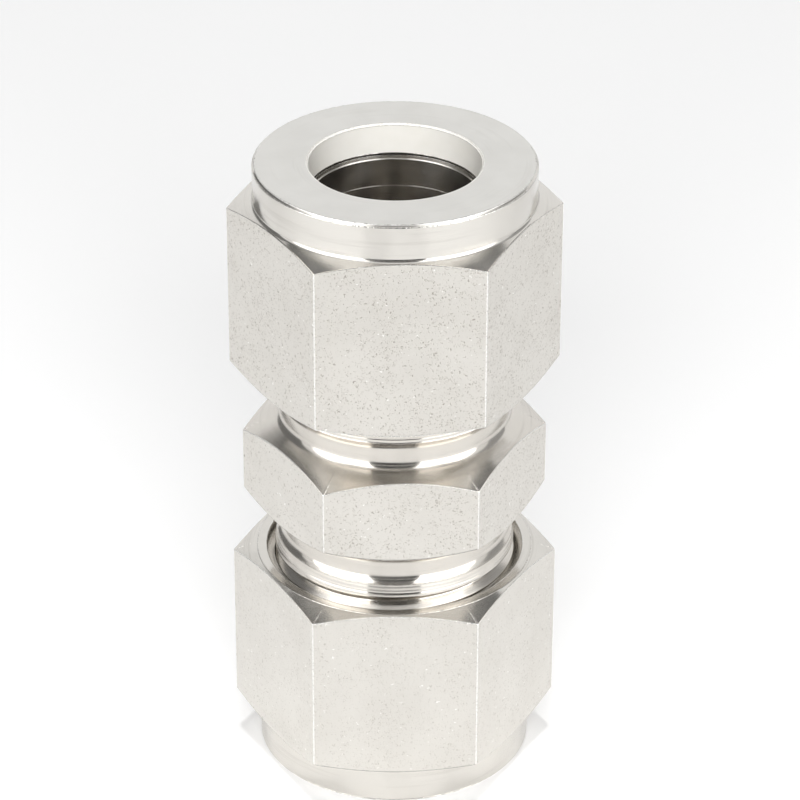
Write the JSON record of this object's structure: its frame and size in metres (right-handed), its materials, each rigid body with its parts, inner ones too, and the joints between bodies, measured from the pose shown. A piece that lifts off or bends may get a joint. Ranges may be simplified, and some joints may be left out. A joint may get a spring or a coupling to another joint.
{
  "type": "straight compression tube union",
  "caption": "Straight compression union that joins metal tubes end to end: a hex body, and at each end a screwed hex nut over a front and a back ferrule.",
  "frame": {"origin": "centre of the hex body, on the flow axis", "axes": "+Z along the flow axis towards the upper nut, -Y square out of one flat of the hex body, +X through a corner of it"},
  "size_m": [0.0256, 0.0228, 0.0514],
  "materials": {
    "body_steel": "turned stainless steel, bright on the necks, satin on the milled flats",
    "nut_steel": "satin stainless steel, turned collar and drawn flats, silver plated inside",
    "ferrule_steel": "fine turned stainless steel"
  },
  "bodies": {
    "body": {"union_body": "body_steel"},
    "upper_ferrules": {"upper_front_ferrule": "ferrule_steel", "upper_back_ferrule": "ferrule_steel"},
    "upper_nut": {"upper_nut": "nut_steel"},
    "lower_ferrules": {"lower_front_ferrule": "ferrule_steel", "lower_back_ferrule": "ferrule_steel"},
    "lower_nut": {"lower_nut": "nut_steel"}
  },
  "joints": [
    {"name": "upper_nut_travel", "type": "slide", "parent": "body", "child": "upper_ferrules", "axis": [0, 0, 1], "range_m": [0, 0.0089]},
    {"name": "upper_nut_turn", "type": "hinge", "parent": "upper_ferrules", "child": "upper_nut", "pos_m": [0, 0, 0.0168], "axis": [0, 0, 1], "range_deg": [0, 2520]},
    {"name": "lower_nut_travel", "type": "slide", "parent": "body", "child": "lower_ferrules", "axis": [0, 0, -1], "range_m": [0, 0.0089]},
    {"name": "lower_nut_turn", "type": "hinge", "parent": "lower_ferrules", "child": "lower_nut", "pos_m": [0, 0, -0.0168], "axis": [0, 0, -1], "range_deg": [0, 2520]}
  ],
  "couplings": [
    {"joint": "upper_nut_travel", "follows": "upper_nut_turn", "m_per_rad": 0.00020213},
    {"joint": "lower_nut_travel", "follows": "lower_nut_turn", "m_per_rad": 0.00020213}
  ]
}
